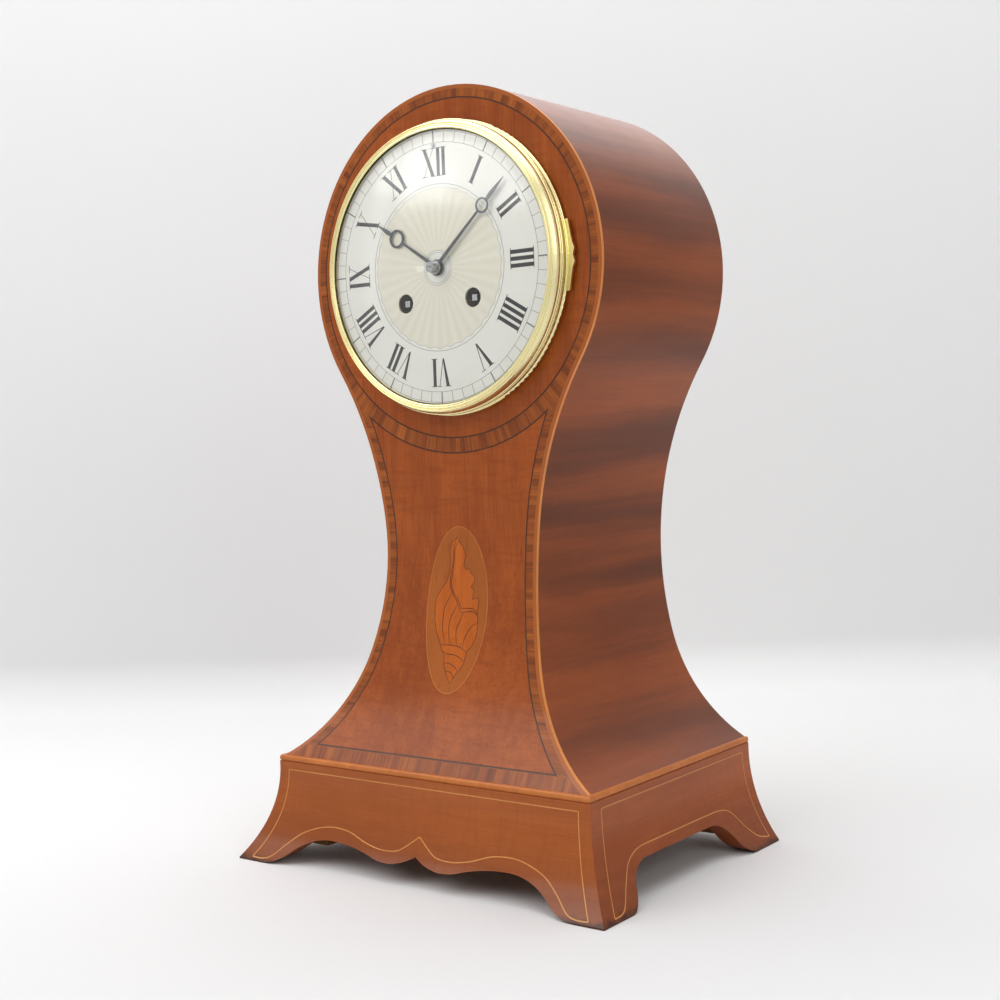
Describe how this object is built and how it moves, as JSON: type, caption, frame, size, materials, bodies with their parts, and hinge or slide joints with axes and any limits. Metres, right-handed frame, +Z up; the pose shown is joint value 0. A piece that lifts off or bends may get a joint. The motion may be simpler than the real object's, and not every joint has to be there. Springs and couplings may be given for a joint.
{
  "type": "balloon clock",
  "caption": "Waisted veneered mantel clock with round head, hinged brass bezel over a silvered dial, working striking movement with pendulum, and a splayed plinth on shaped feet",
  "frame": {"origin": "floor point under the middle of the bounding box", "axes": "+Z up, the dial faces -Y, +X is to the right of a person facing the dial"},
  "size_m": [0.2372, 0.175, 0.4072],
  "materials": {
    "mahogany": "French polish",
    "side_mahogany": "French polish",
    "crossband": "French polish",
    "ebony": "French polish",
    "boxwood": "French polish",
    "green_wood": "French polish",
    "shaded_boxwood": "French polish",
    "oak": "plain",
    "brass": "lacquered",
    "bezel_brass": "polished",
    "silvered": "silvered and waxed",
    "steel": "polished",
    "blued_steel": "blued",
    "iron": "plain",
    "glass": "clear, domed"
  },
  "bodies": {
    "case": {"case_band": "side_mahogany", "left_side": "side_mahogany", "right_side": "side_mahogany", "front_board": "oak", "head_veneer": "mahogany", "field_veneer": "mahogany", "crossbanding": "crossband", "ebony_line": "ebony", "boxwood_string": "boxwood", "patera_ground": "green_wood", "shell_inlay": "shaded_boxwood", "back_board": "oak", "floor_board": "oak", "plinth_top": "oak", "plinth_edge": "boxwood", "plinth_front": "mahogany", "plinth_left": "side_mahogany", "plinth_right": "side_mahogany", "plinth_back": "oak", "corner_blocks": "oak", "dial_seat": "brass", "dial": "silvered", "movement_straps": "steel", "strap_screws": "steel", "rear_ring": "brass", "front_plate": "brass", "back_plate": "brass", "pillars": "brass", "suspension_cock": "brass", "gong": "blued_steel", "gong_block": "iron", "clicks": "steel", "bezel_pin": "steel", "door_pin": "steel"},
    "bezel_frame": {"bezel": "bezel_brass", "glass": "glass", "bezel_tab": "bezel_brass"},
    "back_door": {"rear_door": "brass", "door_knob": "brass"},
    "minute_work": {"cannon_pinion": "steel", "minute_hand": "blued_steel", "hand_nut": "steel"},
    "motion": {"motion_wheel": "brass"},
    "hour_work": {"hour_wheel": "brass", "hour_hand": "blued_steel"},
    "going_drum": {"going_barrel": "brass"},
    "going_winder": {"going_arbor": "steel"},
    "intermediate": {"intermediate_wheel": "brass"},
    "centre": {"centre_wheel": "brass"},
    "third": {"third_wheel": "brass"},
    "escape": {"escape_wheel": "brass"},
    "pallets": {"anchor": "steel"},
    "pendulum": {"pendulum_rod": "brass", "pendulum_bob": "brass"},
    "strike_drum": {"strike_barrel": "brass"},
    "strike_winder": {"strike_arbor": "steel"},
    "strike_pins": {"pin_wheel": "brass"},
    "strike_fly": {"fly": "brass"},
    "strike_hammer": {"hammer": "steel"},
    "regulator": {"regulator_arbor": "steel"}
  },
  "joints": [
    {"name": "bezel_swing", "type": "hinge", "parent": "case", "child": "bezel_frame", "pos_m": [-0.0779, -0.03548, 0.3132], "axis": [0, 0, -1], "range_deg": [0, 100]},
    {"name": "back_door_swing", "type": "hinge", "parent": "case", "child": "back_door", "pos_m": [-0.06035, 0.07892, 0.3132], "axis": [0, 0, 1], "range_deg": [0, 110]},
    {"name": "minute_turn", "type": "hinge", "parent": "case", "child": "minute_work", "pos_m": [0, -0.04553, 0.3132], "axis": [0, 1, 0], "continuous": true},
    {"name": "motion_turn", "type": "hinge", "parent": "case", "child": "motion", "pos_m": [0.00991, -0.03153, 0.32014], "axis": [0, 1, 0], "continuous": true},
    {"name": "hour_turn", "type": "hinge", "parent": "case", "child": "hour_work", "pos_m": [0, -0.04453, 0.3132], "axis": [0, 1, 0], "continuous": true},
    {"name": "escape_turn", "type": "hinge", "parent": "case", "child": "escape", "pos_m": [0, -0.00813, 0.3412], "axis": [0, 1, 0], "continuous": true},
    {"name": "third_turn", "type": "hinge", "parent": "case", "child": "third", "pos_m": [-0.00628, -0.00813, 0.32975], "axis": [0, 1, 0], "continuous": true},
    {"name": "centre_turn", "type": "hinge", "parent": "case", "child": "centre", "pos_m": [0, -0.00813, 0.3132], "axis": [0, 1, 0], "continuous": true},
    {"name": "intermediate_turn", "type": "hinge", "parent": "case", "child": "intermediate", "pos_m": [0.0167, -0.00813, 0.32018], "axis": [0, 1, 0], "continuous": true},
    {"name": "going_drum_turn", "type": "hinge", "parent": "case", "child": "going_drum", "pos_m": [0.0222, -0.00813, 0.29635], "axis": [0, 1, 0], "continuous": true},
    {"name": "going_wind", "type": "hinge", "parent": "case", "child": "going_winder", "pos_m": [0.0222, -0.00813, 0.29635], "axis": [0, 1, 0], "continuous": true},
    {"name": "pendulum_swing", "type": "hinge", "parent": "case", "child": "pendulum", "pos_m": [0, 0.02427, 0.35202], "axis": [0, 1, 0], "range_deg": [-4, 4]},
    {"name": "pallet_rock", "type": "hinge", "parent": "case", "child": "pallets", "pos_m": [0, -0.00813, 0.35202], "axis": [0, 1, 0], "range_deg": [-4, 4]},
    {"name": "fly_turn", "type": "hinge", "parent": "case", "child": "strike_fly", "pos_m": [-0.02377, -0.00813, 0.3356], "axis": [0, 1, 0], "continuous": true},
    {"name": "strike_pins_turn", "type": "hinge", "parent": "case", "child": "strike_pins", "pos_m": [-0.02645, -0.00813, 0.32044], "axis": [0, 1, 0], "continuous": true},
    {"name": "strike_drum_turn", "type": "hinge", "parent": "case", "child": "strike_drum", "pos_m": [-0.0222, -0.00813, 0.29635], "axis": [0, 1, 0], "continuous": true},
    {"name": "strike_wind", "type": "hinge", "parent": "case", "child": "strike_winder", "pos_m": [-0.0222, -0.00813, 0.29635], "axis": [0, 1, 0], "continuous": true},
    {"name": "hammer_lift", "type": "hinge", "parent": "case", "child": "strike_hammer", "pos_m": [-0.02965, -0.00813, 0.3422], "axis": [0, 1, 0], "range_deg": [0, 4.5]},
    {"name": "rate_turn", "type": "hinge", "parent": "case", "child": "regulator", "pos_m": [0, 0.02427, 0.3757], "axis": [0, 1, 0], "range_deg": [-360, 360]}
  ],
  "couplings": [
    {"joint": "motion_turn", "follows": "minute_turn", "ratio": -0.33333},
    {"joint": "hour_turn", "follows": "minute_turn", "ratio": 0.083333},
    {"joint": "third_turn", "follows": "escape_turn", "ratio": -0.08},
    {"joint": "centre_turn", "follows": "escape_turn", "ratio": 0.008},
    {"joint": "intermediate_turn", "follows": "escape_turn", "ratio": -0.0016},
    {"joint": "going_drum_turn", "follows": "escape_turn", "ratio": 0.00026667},
    {"joint": "strike_pins_turn", "follows": "strike_drum_turn", "ratio": -6},
    {"joint": "fly_turn", "follows": "strike_drum_turn", "ratio": 45},
    {"joint": "pallet_rock", "follows": "pendulum_swing", "ratio": 1}
  ]
}
